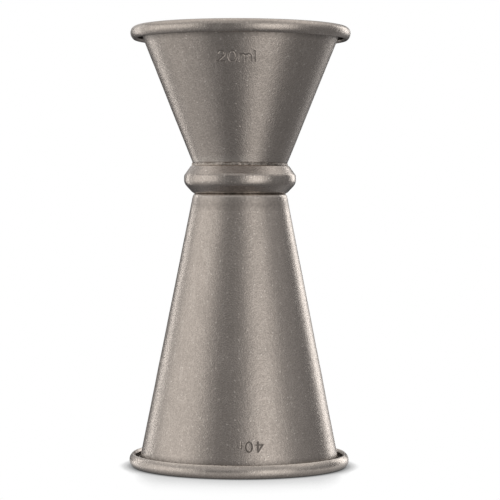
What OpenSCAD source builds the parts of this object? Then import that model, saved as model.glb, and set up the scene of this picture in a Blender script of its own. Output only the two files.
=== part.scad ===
// Bar jigger: a 20 ml cup and a 40 ml cup, joined floor to floor by a hollow waist collar.
// The large cup stands mouth down on its rim, and the small cup opens upwards.
// The origin is the centre of the base, +Z is the axis, and lengths are in millimetres.
//
// Every piece is a ring of revolution. The cups and the collar are sheet metal, so each
// section is drawn as two faces a sheet apart, joined by concentric arcs at the bends.
// A cup's section is drawn mouth down, with its height measured from the mouth.

/* [Large cup] */
// Height from the mouth to the outside of the floor
large_h = 57.3; // [46:0.1:72]
// Diameter over the curled rim
large_rim_d = 46; // [38:0.5:58]
// Outside diameter where the wall would meet the floor
large_neck_d = 19.5; // [16:0.1:24]

/* [Small cup] */
// Height from the mouth to the outside of the floor
small_h = 29; // [23:0.1:38]
// Diameter over the curled rim
small_rim_d = 46; // [38:0.5:58]
// Outside diameter where the wall would meet the floor
small_neck_d = 19.4; // [16:0.1:24]

/* [Cup sheet] */
// Thickness of the cups' sheet
cup_t = 0.8; // [0.6:0.05:1]
// Inside radius of the bend between floor and wall
floor_bend_r = 0.3; // [0.1:0.05:1]
// Inside radius of the roll at the mouth
curl_bend_r = 0.55; // [0.4:0.05:0.8]
// Inside radius of the roll past its widest point
tip_bend_r = 1; // [0.8:0.05:1.3]
// Turn of the roll past its widest point, in degrees
tip_turn = 55; // [30:5:100]
// Width of the flat that each rim stands on
land_w = 0.25; // [0.2:0.05:0.5]

/* [Waist collar] */
// Height between the two floors that the collar holds apart
collar_h = 5.7; // [4.7:0.1:8]
// How far the band stands out from the wider neck
band_w = 1.98; // [1.6:0.02:4]
// Height of the band, between its two bends
band_h = 1.7; // [1.4:0.05:2]
// Height of the band's lower bend above the collar's foot
band_z = 1.93; // [1.6:0.01:2.3]
// Width of the step between the small cup's neck and the collar's top edge
top_step_w = 0.55; // [0.4:0.05:0.7]
// Width of the step between the large cup's neck and the collar's foot
foot_step_w = 0.15; // [0.1:0.05:0.3]
// Width of the lips that lie flat on the floors, measured in from each neck
lip_w = 2.4; // [1.8:0.1:3.5]
// Thickness of the collar's sheet
collar_t = 0.5; // [0.4:0.05:0.7]
// Inside radius of the bends between the lips and the flanks
lip_bend_r = 0.1; // [0.05:0.05:0.2]
// Inside radius of the bend above the band
upper_bend_r = 0.6; // [0.2:0.1:0.7]
// Inside radius of the bend below the band
lower_bend_r = 1.5; // [0.4:0.1:1.6]

/* [Seam welds] */
// Gap left open at the root of each weld, between the floor bend and the lip
weld_root = 0.1; // [0.06:0.01:0.2]
// Height of the weld up the small cup's neck
upper_weld_h = 0.75; // [0.4:0.05:0.8]
// Height of the weld down the large cup's neck
lower_weld_h = 0.6; // [0.3:0.05:0.8]

/* [Hidden] */

cup_colour = "#8a847d";
collar_colour = "#807a73";
weld_colour = "#6b655d";

total_h = large_h + collar_h + small_h;
large_rim_r = large_rim_d / 2;
small_rim_r = small_rim_d / 2;
large_neck_r = large_neck_d / 2;
small_neck_r = small_neck_d / 2;
floor_out_r = floor_bend_r + cup_t;
mouth_out_r = curl_bend_r + cup_t;
tip_out_r = tip_bend_r + cup_t;
arc_step = 7.5;
turn_sides = 180;

// Points of an arc about c, from angle a to angle b
function arc(c, r, a, b) =
    let (n = max(2, ceil(abs(b - a) / arc_step)))
    [for (i = [0 : n]) let (t = a + (b - a) * i / n) c + r * [cos(t), sin(t)]];

function reversed(points) = [for (i = [len(points) - 1 : -1 : 0]) points[i]];

// All the points but the first, where the path before already ends on it
function onward(points) = [for (i = [1 : len(points) - 1]) points[i]];

// Centre of the roll's half that is nearer to the cup's axis
function roll_centre(rim_r) = [rim_r - mouth_out_r - land_w, mouth_out_r];

// Lean of a cup's wall from the axis: its outer face runs from the neck's corner to a
// tangent on the inside of the roll
function wall_lean(h, rim_r, neck_r) =
    let (run = roll_centre(rim_r).x - neck_r, rise = h - mouth_out_r)
    acos(curl_bend_r / norm([run, rise])) - atan2(rise, run);

// Arc of the floor bend on the cup's outer face, from the floor to the wall
function floor_corner(h, rim_r, neck_r, r = floor_out_r) =
    let (lean = wall_lean(h, rim_r, neck_r))
    let (x = neck_r - floor_out_r * (1 - sin(lean)) / cos(lean))
    arc([x, h - floor_out_r], r, 90, lean);

// One face of a cup's sheet, at a given depth below its outer face
function cup_face(h, rim_r, neck_r, depth) =
    let (lean = wall_lean(h, rim_r, neck_r))
    concat(
        [[0, h - depth]],
        floor_corner(h, rim_r, neck_r, floor_out_r - depth),
        arc(roll_centre(rim_r), curl_bend_r + depth, 180 + lean, 270),
        arc([rim_r - mouth_out_r, mouth_out_r], curl_bend_r + depth, 270, 360),
        onward(arc([rim_r - tip_out_r, mouth_out_r], tip_bend_r + depth, 0, tip_turn))
    );

function cup_outline(h, rim_r, neck_r) =
    concat(cup_face(h, rim_r, neck_r, 0), reversed(cup_face(h, rim_r, neck_r, cup_t)));

// A sheet bend at q on the way from p to s, always turning right. The outer face's lines
// meet at q, bend_r is the inside radius and depth is measured below the outer face.
function right_bend(p, q, s, bend_r, depth) =
    let (a = atan2(q.y - p.y, q.x - p.x) + 90, b = atan2(s.y - q.y, s.x - q.x) + 90)
    let (a_left = [cos(a), sin(a)], b_left = [cos(b), sin(b)])
    let (out_r = bend_r + collar_t)
    let (centre = q - (a_left + b_left) * out_r / (1 + a_left * b_left))
    arc(centre, out_r - depth, a, b > a ? b - 360 : b);

band_r = max(small_neck_r, large_neck_r) + band_w;

// Corners of the collar's outer face, from the top lip's edge round to the lower lip's
collar_corners = [
    [small_neck_r - lip_w, large_h + collar_h],
    [small_neck_r + top_step_w, large_h + collar_h],
    [band_r, large_h + band_z + band_h],
    [band_r, large_h + band_z],
    [large_neck_r + foot_step_w, large_h],
    [large_neck_r - lip_w, large_h]
];
collar_bends = [lip_bend_r, upper_bend_r, lower_bend_r, lip_bend_r];

// Bend number i of the collar, counted from the top
function collar_bend(i, depth) =
    let (c = collar_corners)
    right_bend(c[i], c[i + 1], c[i + 2], collar_bends[i], depth);

// One face of the collar's sheet, at a given depth below its outer face
function collar_face(depth) =
    concat(
        [collar_corners[0] - [0, depth]],
        [for (i = [0 : 3]) each collar_bend(i, depth)],
        [collar_corners[5] + [0, depth]]
    );

// Section of a weld between a cup's floor bend and the flat of the collar's lip, which
// lies on the cup's floor plane and ends at flat_r
function weld_outline(h, rim_r, neck_r, weld_h, flat_r) =
    let (corner = floor_corner(h, rim_r, neck_r))
    let (bond = [for (p = corner) if (h - p.y >= weld_root && h - p.y <= weld_h) p])
    concat(bond, [[flat_r, h], [bond[0].x, h]]);

module lathe(outline) {
    rotate_extrude($fn = turn_sides)
        polygon(outline);
}

// Places a piece that is drawn mouth down on the small cup's side, mouth up
module on_small_side() {
    translate([0, 0, total_h])
        mirror([0, 0, 1])
            children();
}

module large_cup() {
    color(cup_colour)
        lathe(cup_outline(large_h, large_rim_r, large_neck_r));
}

module small_cup() {
    color(cup_colour)
        on_small_side()
            lathe(cup_outline(small_h, small_rim_r, small_neck_r));
}

module waist_collar() {
    color(collar_colour)
        lathe(concat(collar_face(0), reversed(collar_face(collar_t))));
}

module upper_seam_weld() {
    flat_r = collar_bend(0, 0)[0].x;
    color(weld_colour)
        on_small_side()
            lathe(weld_outline(small_h, small_rim_r, small_neck_r, upper_weld_h, flat_r));
}

module lower_seam_weld() {
    foot = collar_bend(3, 0);
    flat_r = foot[len(foot) - 1].x;
    color(weld_colour)
        lathe(weld_outline(large_h, large_rim_r, large_neck_r, lower_weld_h, flat_r));
}

large_cup();
small_cup();
waist_collar();
upper_seam_weld();
lower_seam_weld();
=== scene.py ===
"""Looks of the bar jigger: a stonewashed steel double jigger on a pale studio floor.

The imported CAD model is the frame. Its turned pieces are rebuilt here as finer lathes with round
bends, softened cut edges, small dents, stamped capacity marks and uneven weld beads, all at the
CAD sizes. Lengths are in metres and angles in degrees unless a name says otherwise. A turn about
the axis is measured from the side that faces the camera, positive to the right.
"""

import math

import bmesh
import bpy
import numpy as np
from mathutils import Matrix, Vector, noise


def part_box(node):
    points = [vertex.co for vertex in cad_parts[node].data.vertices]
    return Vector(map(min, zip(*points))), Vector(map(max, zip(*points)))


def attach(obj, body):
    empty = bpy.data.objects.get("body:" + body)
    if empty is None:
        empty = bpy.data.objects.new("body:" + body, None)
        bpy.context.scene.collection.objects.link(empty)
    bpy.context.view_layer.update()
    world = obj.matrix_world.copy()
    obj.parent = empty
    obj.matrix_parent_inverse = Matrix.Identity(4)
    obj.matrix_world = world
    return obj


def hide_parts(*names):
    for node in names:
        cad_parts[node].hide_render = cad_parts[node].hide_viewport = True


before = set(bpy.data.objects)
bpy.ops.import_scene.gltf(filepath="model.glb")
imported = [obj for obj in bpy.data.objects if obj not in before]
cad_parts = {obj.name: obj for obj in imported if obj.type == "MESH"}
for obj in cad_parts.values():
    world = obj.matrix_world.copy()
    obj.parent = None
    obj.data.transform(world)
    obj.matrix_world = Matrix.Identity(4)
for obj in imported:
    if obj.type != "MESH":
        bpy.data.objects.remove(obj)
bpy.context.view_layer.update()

MM = 0.001

# Sheet metal sizes, as in the part's source
CUP_SHEET = 0.8 * MM
COLLAR_SHEET = 0.5 * MM
FLOOR_BEND = 0.3 * MM
CURL_BEND = 0.55 * MM
TIP_BEND = 1.0 * MM
TIP_TURN = 55
LAND = 0.25 * MM
LARGE_NECK = 9.75 * MM
SMALL_NECK = 9.7 * MM
LIP = 2.4 * MM
TOP_STEP = 0.55 * MM
FOOT_STEP = 0.15 * MM
BAND_HEIGHT = 1.7 * MM
BAND_Z = 1.93 * MM
COLLAR_BENDS = (0.1 * MM, 0.6 * MM, 1.5 * MM, 0.1 * MM)
CUT_EDGE = 0.12 * MM

# Fineness of the meshes: turns in degrees, the rest in metres
BEND_STEP = 7.5
TURN_STEP = 1.5
WALL_STEP = 1.5 * MM
EDGE_STEP = 0.15 * MM
MARK_STEP = 0.065 * MM
BEAD_STEP = 0.75
# Sides that round off a cut edge, and a weld bead's section
CUT_SIDES = 3
BEAD_SIDES = 7

# Capacity marks: plain strokes pressed into the wall, with a burr along each side
STROKE = 0.3 * MM
GROOVE_DEPTH = 0.07 * MM
BURR_HEIGHT = 0.02 * MM
MARK_MARGIN = 0.4 * MM

# Small faults of a hand-finished part. Waves are per metre, and ranges are least and most.
SWELL = 0.035 * MM
SWELL_WAVES = 130
DENTS = 26
DENT_DEPTH = (0.02 * MM, 0.07 * MM)
DENT_SPREAD = (0.7 * MM, 1.6 * MM)
SEED = 7

# Weld stain and painted shade round the seams: its middle level, how much it grows to the right,
# how strong its patches are, and their waves round the part
DIRT_AND_SHADE_LEVEL = 0.45
DIRT_AND_SHADE_SLOPE = 0.6
DIRT_AND_SHADE_PATCHES = 0.8
DIRT_AND_SHADE_WAVES = 3.5

# Weld beads: the waves in their size, and how far a bead's root lies inside the neck, as a share
# of the bead's width
BEAD_WAVES = (10, 4)
BEAD_ROOT_SHARE = 0.3


# ---------------------------------------------------------------- outlines


def arc(centre, radius, start, end, step=BEND_STEP):
    """Points (r, z) of an arc about centre, from angle start to angle end."""
    count = max(2, math.ceil(abs(end - start) / step))
    turns = [math.radians(start + (end - start) * i / count) for i in range(count + 1)]
    return [(centre[0] + radius * math.cos(t), centre[1] + radius * math.sin(t)) for t in turns]


def steps(start, end, coarse, window=None):
    """Values from start to end, coarse apart, and finer inside a (low, high, step) window."""
    cuts = [(start, end, coarse)]
    if window:
        low, high, fine = window
        cuts = [(start, low, coarse), (low, high, fine), (high, end, coarse)]
    values = [start]
    for low, high, step in cuts:
        count = max(1, math.ceil((high - low) / step))
        values += [low + (high - low) * (i + 1) / count for i in range(count)]
    return values


def span(p, q, window=None):
    """Points between p and q, close together near both ends, where a wall meets a bend."""
    length = math.dist(p, q)
    shares = [s / length for s in steps(EDGE_STEP, length - EDGE_STEP, WALL_STEP, window)]
    return [tuple(a + (b - a) * s for a, b in zip(p, q)) for s in shares]


def softened(p, corner, q, radius):
    """A cut edge: the corner between p and q, rounded off."""
    to_p = (Vector(p) - Vector(corner)).normalized()
    to_q = (Vector(q) - Vector(corner)).normalized()
    half = to_p.angle(to_q) / 2
    back = radius / math.tan(half)
    centre = Vector(corner) + (to_p + to_q).normalized() * radius / math.sin(half)
    start = Vector(corner) + to_p * back - centre
    end = Vector(corner) + to_q * back - centre
    turned = [start.lerp(end, i / CUT_SIDES).normalized() for i in range(CUT_SIDES + 1)]
    return [tuple(centre + aim * radius) for aim in turned]


def wall_lean(height, rim, neck):
    """Lean of a cup's wall from the axis."""
    run = rim - (CURL_BEND + CUP_SHEET) - LAND - neck
    rise = height - (CURL_BEND + CUP_SHEET)
    return math.degrees(math.acos(CURL_BEND / math.hypot(run, rise)) - math.atan2(rise, run))


def cup_face(height, rim, neck, depth, mark=None):
    """One face of a cup's sheet, drawn mouth down, at a depth below its outer face."""
    lean = wall_lean(height, rim, neck)
    floor_out = FLOOR_BEND + CUP_SHEET
    mouth = CURL_BEND + CUP_SHEET
    tip = TIP_BEND + CUP_SHEET
    tilt = math.radians(lean)
    corner_r = neck - floor_out * (1 - math.sin(tilt)) / math.cos(tilt)
    corner = arc((corner_r, height - floor_out), floor_out - depth, 90, lean)
    inner_roll = arc((rim - mouth - LAND, mouth), CURL_BEND + depth, 180 + lean, 270)
    outer_roll = arc((rim - mouth, mouth), CURL_BEND + depth, 270, 360)
    tip_roll = arc((rim - tip, mouth), TIP_BEND + depth, 0, TIP_TURN)[1:]
    window = None
    if mark:
        along = (corner[-1][1] - mark["drop"]) / math.cos(tilt)
        half = mark["height"] / 2 + MARK_MARGIN
        window = (along - half, along + half, MARK_STEP)
    floor = span((0, height - depth), corner[0])
    wall = span(corner[-1], inner_roll[0], window)
    return [(0, height - depth)] + floor + corner + wall + inner_roll + outer_roll + tip_roll


def cup_outline(height, rim, neck, mark):
    """The whole section of a cup, from its outer face round the cut edge to its inner face,
    and how many of its points are on the outer face."""
    outside = cup_face(height, rim, neck, 0, mark)
    inside = cup_face(height, rim, neck, CUP_SHEET)
    cut = softened(outside[-2], outside[-1], inside[-1], CUT_EDGE)
    cut += softened(outside[-1], inside[-1], inside[-2], CUT_EDGE)
    return outside[:-1] + cut + inside[-2::-1], len(outside) - 1


def collar_face(corners, depth):
    """One face of the collar's sheet, at a depth below its outer face."""
    face = [(corners[0][0], corners[0][1] - depth)]
    for before, corner, after, bend in zip(corners, corners[1:], corners[2:], COLLAR_BENDS):
        a = math.atan2(corner[1] - before[1], corner[0] - before[0]) + math.pi / 2
        b = math.atan2(after[1] - corner[1], after[0] - corner[0]) + math.pi / 2
        if b > a:
            b -= 2 * math.pi
        out = bend + COLLAR_SHEET
        share = out / (1 + math.cos(a - b))
        centre = (
            corner[0] - (math.cos(a) + math.cos(b)) * share,
            corner[1] - (math.sin(a) + math.sin(b)) * share,
        )
        bent = arc(centre, out - depth, math.degrees(a), math.degrees(b))
        face += span(face[-1], bent[0]) + bent
    end = (corners[-1][0], corners[-1][1] + depth)
    return face + span(face[-1], end) + [end]


def collar_outline(foot, top, band):
    """The collar's section: the outer face from its top lip to its lower one, then back inside."""
    corners = [
        (SMALL_NECK - LIP, top),
        (SMALL_NECK + TOP_STEP, top),
        (band, foot + BAND_Z + BAND_HEIGHT),
        (band, foot + BAND_Z),
        (LARGE_NECK + FOOT_STEP, foot),
        (LARGE_NECK - LIP, foot),
    ]
    return collar_face(corners, 0) + collar_face(corners, COLLAR_SHEET)[::-1]


# ---------------------------------------------------------------- meshes


def around(window=None):
    """Turns right round the axis, finer inside a window, without the repeated last one."""
    return np.radians(steps(-180, 180, TURN_STEP, window)[:-1])


def on_ring(r, z, turns):
    """Points at radius r and height z, at the given turns in radians."""
    return np.stack([r * np.sin(turns), -r * np.cos(turns), np.broadcast_to(z, turns.shape)], -1)


def lathe(name, outline, turns):
    """A closed ring of revolution. Where the outline ends on the axis, it gets one middle point.
    A radius or height in the outline may be an array with a value for each turn."""
    on_axis = np.max(outline[0][0]) == 0
    rings = outline[1:-1] if on_axis else outline
    sides = len(turns)
    verts = np.concatenate([on_ring(r, z, turns) for r, z in rings])
    faces = []
    for i in range(len(rings) - 1 if on_axis else len(rings)):
        low, high = i * sides, (i + 1) % len(rings) * sides
        for j in range(sides):
            k = (j + 1) % sides
            faces.append((low + j, low + k, high + k, high + j))
    if on_axis:
        for first, point in ((0, outline[0]), (len(rings) - 1, outline[-1])):
            middle = len(verts)
            verts = np.vstack([verts, (0, 0, point[1])])
            for j in range(sides):
                edge = (first * sides + (j + 1) % sides, first * sides + j)
                faces.append((middle, *edge) if first == 0 else (middle, *edge[::-1]))
    return mesh_object(name, verts, faces)


def mesh_object(name, verts, faces):
    """A smooth mesh with every face turned outwards."""
    mesh = bpy.data.meshes.new(name)
    mesh.from_pydata(np.asarray(verts, dtype=float).tolist(), [], faces)
    shape = bmesh.new()
    shape.from_mesh(mesh)
    bmesh.ops.recalc_face_normals(shape, faces=shape.faces)
    shape.to_mesh(mesh)
    shape.free()
    mesh.shade_smooth()
    obj = bpy.data.objects.new(name, mesh)
    bpy.context.scene.collection.objects.link(obj)
    return obj


def vertices(obj):
    """The mesh's points, one row each."""
    flat = np.empty(len(obj.data.vertices) * 3)
    obj.data.vertices.foreach_get("co", flat)
    return flat.reshape(-1, 3)


def move_vertices(obj, points):
    obj.data.vertices.foreach_set("co", points.ravel())
    obj.data.update()


def radius_of(points):
    return np.hypot(points[:, 0], points[:, 1])


def push_out(points, move):
    """Points moved away from the axis, level."""
    radius = np.maximum(radius_of(points), MM)
    return points + points * [1, 1, 0] * (move / radius)[:, None]


def smooth(share):
    """0 to 1 with soft ends, for a share that may run past them."""
    share = np.clip(share, 0, 1)
    return share * share * (3 - 2 * share)


def paint(obj, name, values):
    """Stores one number for each point, which the material reads by name."""
    layer = obj.data.attributes.new(name, "FLOAT", "POINT")
    layer.data.foreach_set("value", np.asarray(values, dtype=np.float32))


# ---------------------------------------------------------------- capacity marks


def bow(centre, width, height, start, end, count=12):
    """Points of an arc of an ellipse, anticlockwise from start to end."""
    turns = [math.radians(start + (end - start) * i / count) for i in range(count + 1)]
    return [(centre[0] + width * math.cos(t), centre[1] + height * math.sin(t)) for t in turns]


# Each glyph's width and its strokes, for a height of 1
GLYPHS = {
    "0": (0.56, [bow((0.28, 0.5), 0.28, 0.5, 0, 360, 24)]),
    "2": (0.56, [bow((0.28, 0.72), 0.27, 0.28, 170, -35) + [(0, 0), (0.57, 0)]]),
    "4": (0.6, [[(0.44, 0), (0.44, 1), (0, 0.28), (0.6, 0.28)]]),
    "m": (
        0.84,
        [
            [(0, 0), (0, 0.68)],
            [(0, 0.4)] + bow((0.21, 0.44), 0.21, 0.24, 180, 0) + [(0.42, 0)],
            [(0.42, 0.4)] + bow((0.63, 0.44), 0.21, 0.24, 180, 0) + [(0.84, 0)],
        ],
    ),
    "l": (0.02, [[(0, 0), (0, 1)]]),
}


def mark_strokes(mark):
    """A mark's strokes as segments (x, y, x, y), centred on the mark."""
    gap, size, stretch = mark["gap"], mark["height"], mark["stretch"]
    width = sum(GLYPHS[c][0] for c in mark["text"]) + gap * (len(mark["text"]) - 1)
    x = -width / 2
    segments = []
    for character in mark["text"]:
        advance, paths = GLYPHS[character]
        for path in paths:
            placed = [((x + px) * size * stretch, (py - 0.5) * size) for px, py in path]
            segments += [(*p, *q) for p, q in zip(placed, placed[1:])]
        x += advance + gap
    return np.array(segments)


def stroke_distance(points, segments):
    """Distance from each point (x, y) to the nearest segment."""
    nearest = np.full(len(points), np.inf)
    for start, line in zip(segments[:, :2], segments[:, 2:] - segments[:, :2]):
        share = np.clip(((points - start) @ line) / (line @ line), 0, 1)
        gap = points - start - share[:, None] * line
        nearest = np.minimum(nearest, np.hypot(gap[:, 0], gap[:, 1]))
    return nearest


def mark_window(mark, radius):
    """The turns that a mark spans on a wall of this radius, as a fine window for the lathe."""
    segments = mark_strokes(mark)
    half = math.degrees((np.abs(segments[:, [0, 2]]).max() + MARK_MARGIN) / radius)
    middle = mark["turn"]
    return (middle - half, middle + half, math.degrees(MARK_STEP / radius))


def stamp(obj, mark, mouth_z, lean, outer):
    """Presses a mark into a cup's outer wall, and paints where its strokes are dark. Outer tells
    which points are on the outer face."""
    points = vertices(obj)
    up = 1 if mouth_z > points[:, 2].mean() else -1
    middle_z = mouth_z - up * mark["drop"]
    turn = np.arctan2(points[:, 0], -points[:, 1]) - math.radians(mark["turn"])
    x = turn * radius_of(points) * up
    y = (points[:, 2] - middle_z) / math.cos(math.radians(lean)) * up
    in_front = np.cos(turn) > 0
    near = outer & in_front & (np.abs(y) < mark["height"])
    away = np.full(len(points), np.inf)
    away[near] = stroke_distance(np.stack([x[near], y[near]], 1), mark_strokes(mark))
    half = STROKE / 2
    kept = smooth(np.interp(x, mark["fade_from"], mark["fade_to"]))
    # The groove's edge is soft, and the burr's crest lies along its outer end
    groove = smooth(1.5 - away / half)
    burr = smooth(1 - np.abs(away - 1.5 * half) / half)
    move_vertices(obj, push_out(points, (burr * BURR_HEIGHT - groove * GROOVE_DEPTH) * kept))
    paint(obj, "ink", groove * kept * mark["ink"])


# ---------------------------------------------------------------- wear, faults and painted light


def swell(obj):
    """Slight unevenness of spun and tumbled sheet."""
    points = vertices(obj)
    waves = [noise.noise(Vector(p) * SWELL_WAVES) for p in points]
    move_vertices(obj, push_out(points, np.array(waves) * SWELL))


def dent(obj, places):
    """Small round dents, pressed in level towards the axis."""
    points = vertices(obj)
    draw = np.random.default_rng(SEED)
    move = np.zeros(len(points))
    for _ in range(DENTS):
        r, z = places[draw.integers(len(places))]
        spread = draw.uniform(*DENT_SPREAD)
        middle = on_ring(r, z, draw.uniform(-math.pi, math.pi, 1))[0]
        away = np.linalg.norm(points - middle, axis=1) / spread
        move -= draw.uniform(*DENT_DEPTH) * np.exp(-away * away)
    move_vertices(obj, push_out(points, move))


def near_rings(points, rings):
    """How near each point is to any ring (r, z, reach, most): most on it, 0 past its reach."""
    radius, height = radius_of(points), points[:, 2]
    best = np.zeros(len(points))
    for r, z, reach, most in rings:
        away = np.hypot(radius - r, height - z)
        best = np.maximum(best, most * smooth(1 - away / reach))
    return best


def seam_dirt_and_shade(points):
    """0 to 1 round the seams: low at the left, high at the right, and patchy between. High sets
    weld stain and painted shade on the seams, and low sets a painted highlight on the weld's
    crest.
    """
    aims = points * [1, 1, 0] / np.maximum(radius_of(points), MM)[:, None]
    patches = np.array([noise.noise(Vector(aim) * DIRT_AND_SHADE_WAVES) for aim in aims])
    return smooth(DIRT_AND_SHADE_LEVEL + DIRT_AND_SHADE_SLOPE * aims[:, 0] + DIRT_AND_SHADE_PATCHES * patches)


def weather_and_painted_light(obj, hidden_shade=0.0):
    """Paints shade into the crevices and onto the hidden points, dark seams that are partly weld
    stain and partly painted shade, and pale wear and painted highlights on the rims, the band and
    the large
    cup's shoulder. On the seams and on the weld's crest, it follows the dirt and shade round the
    part:
    painted shade on the seams' right side, and a painted highlight on the crest's left side."""
    points = vertices(obj)
    dirt_and_shade = seam_dirt_and_shade(points)
    grime_and_shade = np.maximum(near_rings(points, SEAMS) * dirt_and_shade, near_rings(points, SHADED_CREVICES))
    paint(obj, "grime_and_shade", np.maximum(grime_and_shade, hidden_shade))
    wear_and_highlight = np.maximum(near_rings(points, HIGHLIGHTED_CRESTS) * (1 - dirt_and_shade), near_rings(points, RUBBED_AND_HIGHLIGHTED))
    paint(obj, "wear_and_highlight", wear_and_highlight)


def weld_bead(name, inner, outer, top, bottom, rough):
    """An uneven weld in the corner between a neck at radius inner and a lip out to radius outer.
    Its height runs from bottom, on the lip, to top, on the neck. Rough is how uneven it is."""
    turns = np.radians(np.arange(-180, 180, BEAD_STEP))
    aims = [Vector((math.sin(t), math.cos(t), top)) for t in turns]
    waves = [sum(noise.noise(aim * count) for count in BEAD_WAVES) for aim in aims]
    size = 1 + rough * np.array(waves)
    width, height = (outer - inner) * size, (top - bottom) * size
    root = inner - BEAD_ROOT_SHARE * (outer - inner)
    section = [(root, np.full(len(turns), bottom))]
    for i in range(BEAD_SIDES + 1):
        angle = math.radians(90 * i / BEAD_SIDES)
        section.append((inner + width * math.cos(angle), bottom + height * math.sin(angle)))
    section.append((root, bottom + height))
    return lathe(name, section, turns)


def finish_piece(obj, slot, material, *nodes):
    """Gives a piece its material and its body, and hides the CAD nodes that it stands for. Slot is
    not used.
    """
    obj.data.materials.append(material)
    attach(obj, "root")
    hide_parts(*nodes)
    return obj


# ---------------------------------------------------------------- materials


def node_tree(owner):
    owner.use_nodes = True
    owner.node_tree.nodes.clear()
    return owner.node_tree


def add(tree, kind, inputs=None, **settings):
    """A node with its settings and inputs, each a value or another node's socket."""
    made = tree.nodes.new(kind)
    for key, value in settings.items():
        setattr(made, key, value)
    for key, value in (inputs or {}).items():
        if isinstance(value, bpy.types.NodeSocket):
            tree.links.new(value, made.inputs[key])
        else:
            made.inputs[key].default_value = value
    return made


def maths(tree, operation, a, b=0.0):
    return add(tree, "ShaderNodeMath", {0: a, 1: b}, operation=operation).outputs[0]


def remap(tree, value, low, high, to_low, to_high, kind="LINEAR"):
    """A value carried from low..high to to_low..to_high."""
    inputs = {
        "Value": value,
        "From Min": low,
        "From Max": high,
        "To Min": to_low,
        "To Max": to_high,
    }
    return add(tree, "ShaderNodeMapRange", inputs, interpolation_type=kind).outputs[0]


def ramp(tree, factor, stops):
    """A colour ramp. Each stop is (position, grey) or (position, (r, g, b))."""
    made = add(tree, "ShaderNodeValToRGB", {"Fac": factor})
    made.color_ramp.interpolation = "EASE"
    elements = made.color_ramp.elements
    while len(elements) < len(stops):
        elements.new(0.5)
    for element, (position, value) in zip(elements, stops):
        element.position = position
        rgb = (value,) * 3 if isinstance(value, (int, float)) else value
        element.color = (*rgb, 1)
    return made.outputs["Color"]


def noise_at(tree, place, scale, detail=2, roughness=0.5):
    inputs = {"Vector": place, "Scale": scale, "Detail": detail, "Roughness": roughness}
    return add(tree, "ShaderNodeTexNoise", inputs).outputs["Fac"]


def stretched(tree, place, factors):
    """Coordinates scaled along X, Y and Z, so that a pattern on them is drawn out."""
    inputs = {0: place, 1: factors}
    return add(tree, "ShaderNodeVectorMath", inputs, operation="MULTIPLY").outputs[0]


def scratches(tree, place, turn, scale):
    """Thin lines in one direction, 1 on a line and 0 off it."""
    inputs = {"Vector": place, "Rotation": turn, "Scale": (1, 1, SCRATCH_STRETCH)}
    turned = add(tree, "ShaderNodeMapping", inputs).outputs[0]
    wave = noise_at(tree, turned, scale, 1)
    away = maths(tree, "ABSOLUTE", maths(tree, "SUBTRACT", wave, 0.5))
    return remap(tree, away, 0.0, SCRATCH_WIDTH, 1.0, 0.0)


def pits(tree, place):
    """Small round pits in some cells of a pattern, 1 in the middle of a pit and 0 off it."""
    inputs = {"Vector": place, "Scale": PIT_SCALE, "Randomness": 1}
    cells = add(tree, "ShaderNodeTexVoronoi", inputs).outputs
    pit = remap(tree, cells["Distance"], 0.0, PIT_SIZE, 1.0, 0.0, "SMOOTHSTEP")
    choice = add(tree, "ShaderNodeSeparateColor", {0: cells["Color"]}).outputs[0]
    return maths(tree, "MULTIPLY", pit, maths(tree, "GREATER_THAN", choice, PIT_CHOICE))


def painted(tree, name):
    return add(tree, "ShaderNodeAttribute", attribute_name=name).outputs["Fac"]


def tint(tree, colour, factor, other):
    """Colour mixed towards another by a factor."""
    made = add(tree, "ShaderNodeMix", {0: factor}, data_type="RGBA")
    tree.links.new(colour, made.inputs["A"])
    made.inputs["B"].default_value = (*other, 1)
    return made.outputs["Result"]


def bumped(tree, height, distance, normal=None):
    inputs = {"Height": height, "Distance": distance, "Strength": 1.0}
    if normal:
        inputs["Normal"] = normal
    return add(tree, "ShaderNodeBump", inputs).outputs[0]


# Grime with painted shade, the marks' ink, and pale worn steel that also paints highlights and
# glints
GRIME_AND_SHADE_COLOUR = (0.05, 0.042, 0.036)
INK_COLOUR = (0.055, 0.045, 0.038)
WORN_AND_HIGHLIGHT_COLOUR = (0.84, 0.765, 0.69)

# Patterns in the steel: waves per metre, detail and roughness
CLOUDS = (180, 3, 0.5)
MOTTLE = (1500, 3, 0.65)
GRAIN = (3400, 2, 0.7)
TURNING = (5200, 2, 0.5)
# Shares of clouds, mottle and grain in the blend, and the blend where it is dark and pale
BLEND_SHARES = (0.15, 0.3, 0.55)
BLEND_DARK, BLEND_PALE = 0.4, 0.6
# The blend where the steel is roughest and smoothest, and how much grime and painted shade add to
# its roughness
BLEND_ROUGH, BLEND_SMOOTH = 0.35, 0.65
GRIME_AND_SHADE_ROUGH = 0.2
# Turning marks run level, so their pattern is drawn out along X and Y
TURNING_STRETCH = (0.03, 0.03, 1)
# Scratches: the turn in radians and the scale of each set, their drawing out and their width
SCRATCH_SETS = [((0.5, 0.4, 0.2), 420), ((-0.7, 0.9, 1.2), 380)]
SCRATCH_STRETCH = 0.06
SCRATCH_WIDTH = 0.012
# Pits: cells per metre, their size in a cell, and the share of cells without one
PIT_SCALE = 1300
PIT_SIZE = 0.35
PIT_CHOICE = 0.78
# How brightly the pits are painted, as painted glints, and how much scratches show as pale worn
# steel
PIT_GLINT = 0.9
SCRATCH_SHINE = 0.2
# Wear with its painted highlights, and grime with its painted shade, are patchy: the mottle from
# and to, and the share kept at each
WEAR_AND_HIGHLIGHT_PATCHES = (0.35, 0.6, 0.6, 1.0)
GRIME_AND_SHADE_PATCHES = (0.3, 0.6, 0.9, 0.6)
# Depths in the surface
MOTTLE_DEPTH = 0.022 * MM
GRAIN_DEPTH = 0.04 * MM
PIT_DEPTH = 0.02 * MM


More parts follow.
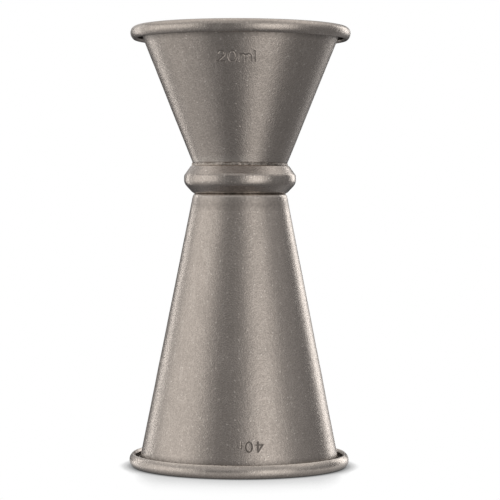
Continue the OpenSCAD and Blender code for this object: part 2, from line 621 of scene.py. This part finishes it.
def steel_blend(tree, patterns):
    """The patterns added up by their shares."""
    parts = [maths(tree, "MULTIPLY", *pair) for pair in zip(patterns, BLEND_SHARES)]
    return maths(tree, "ADD", maths(tree, "ADD", parts[0], parts[1]), parts[2])


def patchy(tree, name, mottle, patches):
    """A painted value, kept more in some of the mottle than in the rest."""
    return maths(tree, "MULTIPLY", painted(tree, name), remap(tree, mottle, *patches))


def relief(tree, layers):
    """The bumps of each (height, depth), one on another."""
    normal = None
    for height, depth in layers:
        normal = bumped(tree, height, depth, normal)
    return normal


def steel_colour(tree, blend, dark, pale, shares):
    """The blend's colours, tinted in turn by each (share, colour)."""
    colour = ramp(tree, blend, [(BLEND_DARK, dark), (BLEND_PALE, pale)])
    for share, other in shares:
        colour = tint(tree, colour, share, other)
    return colour


def stonewashed(name, dark, pale, rough, lines=0.0):
    """Tumbled stainless steel: warm grey, finely pitted with painted glints, scuffed, with grime
    and painted shade, wear and painted highlights, and ink.
    Rough is its least and most roughness, and lines is the depth of the fine marks that turning
    left round the axis."""
    material = bpy.data.materials.new(name)
    tree = node_tree(material)
    place = add(tree, "ShaderNodeTexCoord").outputs["Object"]
    patterns = [noise_at(tree, place, *kind) for kind in (CLOUDS, MOTTLE, GRAIN)]
    mottle, grain = patterns[1:]
    pit = pits(tree, place)
    scratched = maths(tree, "MAXIMUM", *[scratches(tree, place, *each) for each in SCRATCH_SETS])
    soiled_and_shaded = patchy(tree, "grime_and_shade", mottle, GRIME_AND_SHADE_PATCHES)
    shares = [
        (maths(tree, "MULTIPLY", pit, PIT_GLINT), WORN_AND_HIGHLIGHT_COLOUR),
        (maths(tree, "MULTIPLY", scratched, SCRATCH_SHINE), WORN_AND_HIGHLIGHT_COLOUR),
        (patchy(tree, "wear_and_highlight", mottle, WEAR_AND_HIGHLIGHT_PATCHES), WORN_AND_HIGHLIGHT_COLOUR),
        (soiled_and_shaded, GRIME_AND_SHADE_COLOUR),
        (painted(tree, "ink"), INK_COLOUR),
    ]
    blend = steel_blend(tree, patterns)
    colour = steel_colour(tree, blend, dark, pale, shares)

    gloss = remap(tree, blend, BLEND_ROUGH, BLEND_SMOOTH, rough[1], rough[0])
    gloss = maths(tree, "ADD", gloss, maths(tree, "MULTIPLY", soiled_and_shaded, GRIME_AND_SHADE_ROUGH))

    layers = [(mottle, MOTTLE_DEPTH), (grain, GRAIN_DEPTH), (pit, PIT_DEPTH)]
    if lines:
        level = stretched(tree, place, TURNING_STRETCH)
        layers.append((noise_at(tree, level, *TURNING), lines))
    normal = relief(tree, layers)
    inputs = {"Base Color": colour, "Metallic": 1.0, "Roughness": gloss, "Normal": normal}
    shader = add(tree, "ShaderNodeBsdfPrincipled", inputs)
    add(tree, "ShaderNodeOutputMaterial", {"Surface": shader.outputs[0]})
    return material


# ---------------------------------------------------------------- the jigger

large_low, large_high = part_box("large_cup")
small_low, small_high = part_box("small_cup")
collar_low, collar_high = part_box("waist_collar")
large_rim, small_rim, band = large_high.x, small_high.x, collar_high.x
large_height, small_height = large_high.z - large_low.z, small_high.z - small_low.z

# Each mark is upright with its own cup's mouth up. Drop is its middle's height below the mouth,
# and across the mark it is kept by fade_to at the places fade_from.
LARGE_MARK = {
    "text": "40ml",
    "height": 2.0 * MM,
    "gap": 0.36,
    "stretch": 1.15,
    "drop": 6.2 * MM,
    "turn": 3.8,
    "ink": 0.75,
    "fade_from": (-4 * MM, 0.2 * MM, 1.9 * MM),
    "fade_to": (1.0, 0.95, 0.2),
}
SMALL_MARK = {
    "text": "20ml",
    "height": 2.2 * MM,
    "gap": 0.26,
    "stretch": 1.25,
    "drop": 7.3 * MM,
    "turn": -2.4,
    "ink": 0.3,
    "fade_from": (-5 * MM, 5 * MM),
    "fade_to": (0.8, 0.8),
}

# Distances from a cup's mouth, along the axis: the roll's side, its open gap and its cut edge
ROLL_Z = 1.9 * MM
GAP_Z = 2.2 * MM
TIP_Z = 2.8 * MM

# Rings of painted shade, dark seams, painted highlights and wear: radius, height, reach and the
# most there
# Painted shade in these crevices and corners, where they lie in shade
SHADED_CREVICES = [
    # The gap behind each cup's roll
    (large_rim - 2.4 * MM, GAP_Z, 0.9 * MM, 0.8),
    (small_rim - 2.6 * MM, small_high.z - GAP_Z, 0.9 * MM, 0.8),
    # Under the small cup's roll, and on its wall there
    (small_rim - 0.9 * MM, small_high.z - 3 * MM, 0.5 * MM, 0.9),
    (small_rim - 2.9 * MM, small_high.z - 2.9 * MM, 0.4 * MM, 0.8),
    # The large cup's wall under its shoulder
    (LARGE_NECK + 0.4 * MM, collar_low.z - 2.3 * MM, 2 * MM, 0.35),
    # The corner inside each cup's floor
    (LARGE_NECK - CUP_SHEET, large_high.z - CUP_SHEET, 1.5 * MM, 0.7),
    (SMALL_NECK - CUP_SHEET, small_low.z + CUP_SHEET, 1.5 * MM, 0.7),
]
# The collar's top step and the groove at its foot, darkened: partly weld stain, partly painted
# shade
SEAMS = [
    (SMALL_NECK + TOP_STEP / 2, collar_high.z + 0.2 * MM, 0.7 * MM, 0.85),
    (LARGE_NECK, collar_low.z, 0.28 * MM, 0.7),
]
# A painted highlight on the upper weld's crest
HIGHLIGHTED_CRESTS = [
    (SMALL_NECK + 0.2 * MM, collar_high.z + 0.85 * MM, 0.35 * MM, 1.0),
]
# Pale wear, also serving as a painted highlight, on the large cup's cut edge, each cup's roll and
# the collar's band; and a painted highlight on the large cup's shoulder
RUBBED_AND_HIGHLIGHTED = [
    (large_rim - 0.8 * MM, TIP_Z, 0.5 * MM, 0.8),
    (large_rim - 0.3 * MM, ROLL_Z, 1.4 * MM, 0.25),
    (small_rim - 0.3 * MM, small_high.z - 1.4 * MM, 1.4 * MM, 0.2),
    (band, collar_low.z + BAND_Z + BAND_HEIGHT / 2, 1.2 * MM, 0.2),
    (LARGE_NECK, collar_low.z - 0.7 * MM, 0.55 * MM, 1.0),
]

# Share of the rim's radius and of the height where dents on a cup's wall are centred
DENTED_WALL = (0.8, 0.3)


def cup(name, height, rim, neck, mouth_z, mark, material, node):
    """A cup with its rolled rim, its stamped mark and its small faults."""
    outline, outer = cup_outline(height, rim, neck, mark)
    if mouth_z:
        outline = [(r, mouth_z - z) for r, z in outline]
    lean = wall_lean(height, rim, neck)
    wall_radius = neck + (height - mark["drop"]) * math.tan(math.radians(lean))
    turns = around(mark_window(mark, wall_radius))
    body = lathe(name, outline, turns)
    # Each point's place along the outline: the rings, then the two middle points
    along = np.repeat(np.arange(1, len(outline) - 1), len(turns))
    along = np.append(along, (0, len(outline) - 1))
    stamp(body, mark, mouth_z, lean, along < outer)
    sense = -1 if mouth_z else 1
    from_mouth = (vertices(body)[:, 2] - mouth_z) * sense
    # The roll's hidden side is painted dark, as painted shade
    hidden_shade = (along < outer) & (from_mouth < GAP_Z)
    swell(body)
    wall = (DENTED_WALL[0] * rim, DENTED_WALL[1] * height)
    spots = [(rim, ROLL_Z), (rim - MM, MM), (rim, MM), wall]
    dent(body, [(r, mouth_z + sense * z) for r, z in spots])
    weather_and_painted_light(body, hidden_shade)
    return finish_piece(body, "cup_steel", material, node)


SHEET_DARK = (0.45, 0.396, 0.353)
SHEET_PALE = (0.575, 0.505, 0.451)
WELD_DARK = (0.34, 0.3, 0.26)
WELD_PALE = (0.6, 0.53, 0.47)
COLLAR_LINES = 0.01 * MM
cup_metal = stonewashed("cup_metal", SHEET_DARK, SHEET_PALE, (0.24, 0.32))
collar_metal = stonewashed("collar_metal", SHEET_DARK, SHEET_PALE, (0.2, 0.28), COLLAR_LINES)
weld_metal = stonewashed("weld_metal", WELD_DARK, WELD_PALE, (0.25, 0.4))

cup("large_cup_body", large_height, large_rim, LARGE_NECK, 0, LARGE_MARK, cup_metal, "large_cup")
cup(
    "small_cup_body",
    small_height,
    small_rim,
    SMALL_NECK,
    small_high.z,
    SMALL_MARK,
    cup_metal,
    "small_cup",
)

collar = lathe("waist_collar_body", collar_outline(collar_low.z, collar_high.z, band), around())
swell(collar)
weather_and_painted_light(collar)
finish_piece(collar, "collar_steel", collar_metal, "waist_collar")

# A bead is centred inside the neck and bites into the collar's lip. The upper one stands above
# the CAD's weld, and the lower one hangs from the collar's foot.
BEAD_INSET = 0.3 * MM
BITE = 0.05 * MM
UPPER_RISE = 0.15 * MM
LOWER_HANG = 0.15 * MM
UPPER_ROUGH = 0.45
LOWER_ROUGH = 0.2

upper_low, upper_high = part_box("upper_seam_weld")
upper_bead = weld_bead(
    "upper_weld_bead",
    SMALL_NECK - BEAD_INSET,
    upper_high.x,
    upper_high.z + UPPER_RISE,
    upper_low.z - BITE,
    UPPER_ROUGH,
)
lower_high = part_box("lower_seam_weld")[1]
lower_bead = weld_bead(
    "lower_weld_bead",
    LARGE_NECK - BEAD_INSET,
    LARGE_NECK,
    collar_low.z - LOWER_HANG,
    lower_high.z + BITE,
    LOWER_ROUGH,
)
for bead, node in ((upper_bead, "upper_seam_weld"), (lower_bead, "lower_seam_weld")):
    weather_and_painted_light(bead)
    finish_piece(bead, "weld_steel", weld_metal, node)


# ---------------------------------------------------------------- studio

# Soft panels of light round the jigger: from and to which turn about it, how softly each ends
# there, how bright it is below the jigger, level with it and above it, and the two heights
# between which it fades to its lower brightness. A height is from -1, straight down, to 1.
PANELS = [
    (-141, -133, 4, 0.0, 2.6, 2.4, (-0.5, -0.1)),
    (-118, -45, 16, 0.22, 0.76, 0.74, (-0.6, -0.1)),
    (14, 54, 14, 0.55, 1.02, 0.72, (-0.7, -0.2)),
    (135, 153, 5, 0.1, 2.4, 2.2, (-0.2, 0.05)),
    (50, 110, 16, 0.0, 0.0, 0.25, (-0.5, -0.1)),
    (-148, 156, 10, 0.1, 0.1, 0.1, (-0.5, -0.1)),
    (-220, -150, 8, 0.0, 0.0, 0.8, (-0.5, -0.1)),
    (160, 220, 8, 0.0, 0.0, 0.4, (-0.5, -0.1)),
]
# The two heights between which every panel turns to its upper brightness
HIGH = (0.0, 0.4)
# Brightness between the panels
ROOM = 0.1
# Heights between which another brightness takes over, and that brightness: over the panels, then
# overhead, and below
OVER = (0.38, 0.45, 0.43)
CEILING = (0.52, 0.64, 0.84)
GROUND = (-0.66, -0.85, 0.17)
# The ceiling is dimmer towards the camera: as the Y of a direction goes from the first value to
# the second, the ceiling's share rises from the third value to 1
CEILING_FRONT = (-0.35, 0.05, 0.6)
# The dim parts of the room are a little cooler than the panels
LIGHT_COLOURS = [(0.15, (0.99, 1.0, 1.03)), (0.8, (1.005, 1.0, 0.99))]


def panel_light(tree, turn, level):
    """The room's light with all its panels, by turn about the jigger and by height."""
    light = maths(tree, "ADD", ROOM)
    for start, end, soft, below, bright, above, foot in PANELS:
        a0, a1 = math.radians(start - soft), math.radians(start + soft)
        b0, b1 = math.radians(end - soft), math.radians(end + soft)
        rise = remap(tree, turn, a0, a1, 0.0, 1.0, "SMOOTHSTEP")
        fall = remap(tree, turn, b0, b1, 1.0, 0.0, "SMOOTHSTEP")
        lower = remap(tree, level, *foot, below, bright, "SMOOTHSTEP")
        upper = remap(tree, level, *HIGH, 0.0, above - bright, "SMOOTHSTEP")
        panel = maths(tree, "MULTIPLY", rise, fall)
        panel = maths(tree, "MULTIPLY", panel, maths(tree, "ADD", lower, upper))
        light = maths(tree, "ADD", light, panel)
    return light


def studio_world():
    """Light by direction, drawn as panels. The camera itself sees plain white."""
    world = bpy.data.worlds.new("studio")
    bpy.context.scene.world = world
    tree = node_tree(world)
    aim = add(tree, "ShaderNodeTexCoord").outputs["Generated"]
    parts = add(tree, "ShaderNodeSeparateXYZ", {0: aim}).outputs
    turn = maths(tree, "ARCTAN2", parts["X"], maths(tree, "MULTIPLY", parts["Y"], -1.0))
    light = panel_light(tree, turn, parts["Z"])
    front, side, dimmed = CEILING_FRONT
    overhead = remap(tree, parts["Y"], front, side, dimmed * CEILING[2], CEILING[2])
    for low, high, value in (OVER, (*CEILING[:2], overhead), GROUND):
        share = remap(tree, parts["Z"], low, high, 0.0, 1.0, "SMOOTHSTEP")
        kept = maths(tree, "MULTIPLY", light, maths(tree, "SUBTRACT", 1.0, share))
        light = maths(tree, "ADD", kept, maths(tree, "MULTIPLY", share, value))
    seen = add(tree, "ShaderNodeLightPath").outputs["Is Camera Ray"]
    colour = ramp(tree, light, LIGHT_COLOURS)
    glow = add(tree, "ShaderNodeBackground", {"Color": colour, "Strength": light})
    white = add(tree, "ShaderNodeBackground", {"Color": (1, 1, 1, 1), "Strength": 1.0})
    mix = add(tree, "ShaderNodeMixShader", {0: seen, 1: glow.outputs[0], 2: white.outputs[0]})
    add(tree, "ShaderNodeOutputWorld", {"Surface": mix.outputs[0]})


# Half the paper's width
FLOOR_HALF = 3.0
# Brightness of the paper by how open the space above it is, a painted contact shadow
SHADOW = [(0.0, 0.03), (0.5, 0.4), (0.8, 0.7), (0.93, 1.0)]
SHADOW_SAMPLES = 16
# The shadow reaches further in front: its reach beside the jigger and before it
SHADOW_REACH = (3 * MM, 36 * MM)
# It grows between these two places along -Y, and ends between these two places along X. All
# are shares of the rim's radius.
SHADOW_FRONT = (0.2, 1.1)
SHADOW_SIDES = (0.7, 1.0)
# The paper shows in metal that is nearer than this, fading out by the second distance, and how
# brightly it shows
MIRRORED = (8 * MM, 30 * MM)
MIRRORED_SHARE = 0.48


def studio_floor():
    """White paper that glows evenly, with a painted contact shadow where the jigger stands close
    over it.
    """
    corners = [(-1, -1), (1, -1), (1, 1), (-1, 1)]
    verts = [(x * FLOOR_HALF, y * FLOOR_HALF, 0) for x, y in corners]
    floor = mesh_object("floor", verts, [(0, 1, 2, 3)])
    material = bpy.data.materials.new("floor_paper_painted_shadow")
    tree = node_tree(material)
    place = add(tree, "ShaderNodeTexCoord").outputs["Object"]
    parts = add(tree, "ShaderNodeSeparateXYZ", {0: place}).outputs
    forward = [-share * large_rim for share in SHADOW_FRONT]
    aside = [share * large_rim for share in SHADOW_SIDES]
    before = remap(tree, parts["Y"], *forward, 0.0, 1.0)
    between = remap(tree, maths(tree, "ABSOLUTE", parts["X"]), *aside, 1.0, 0.0)
    reach = remap(tree, maths(tree, "MULTIPLY", before, between), 0.0, 1.0, *SHADOW_REACH)
    inputs = {"Distance": reach}
    opened = add(tree, "ShaderNodeAmbientOcclusion", inputs, samples=SHADOW_SAMPLES)
    light = ramp(tree, opened.outputs["AO"], SHADOW)
    ray = add(tree, "ShaderNodeLightPath").outputs
    near = remap(tree, ray["Ray Length"], *MIRRORED, MIRRORED_SHARE, 0.0, "SMOOTHSTEP")
    shown = maths(tree, "MAXIMUM", near, ray["Is Camera Ray"])
    glow = add(tree, "ShaderNodeEmission", {"Color": light, "Strength": 1.0})
    clear = add(tree, "ShaderNodeBsdfTransparent")
    mix = add(tree, "ShaderNodeMixShader", {0: shown, 1: clear.outputs[0], 2: glow.outputs[0]})
    add(tree, "ShaderNodeOutputMaterial", {"Surface": mix.outputs[0]})
    floor.data.materials.append(material)
    floor.visible_shadow = False


# The photo's angle. Lens and sensor are in millimetres, as Blender has them.
CAMERA_PLACE = (2.11 * MM, -444.1 * MM, 56.1 * MM)
CAMERA_SENSOR = 36
CAMERA_LENS = 152.55
CAMERA_DOWN = 1.39
CAMERA_ROLL = -0.2
CAMERA_NEAREST = 10 * MM


def studio_camera():
    """A camera in front, looking slightly down."""
    data = bpy.data.cameras.new("camera")
    data.sensor_width = CAMERA_SENSOR
    data.lens = CAMERA_LENS
    data.clip_start = CAMERA_NEAREST
    camera = bpy.data.objects.new("camera", data)
    camera.location = CAMERA_PLACE
    camera.rotation_euler = (math.radians(90 - CAMERA_DOWN), math.radians(CAMERA_ROLL), 0)
    bpy.context.scene.collection.objects.link(camera)
    bpy.context.scene.camera = camera


studio_world()
studio_floor()
studio_camera()
bpy.context.scene.view_settings.view_transform = "Standard"
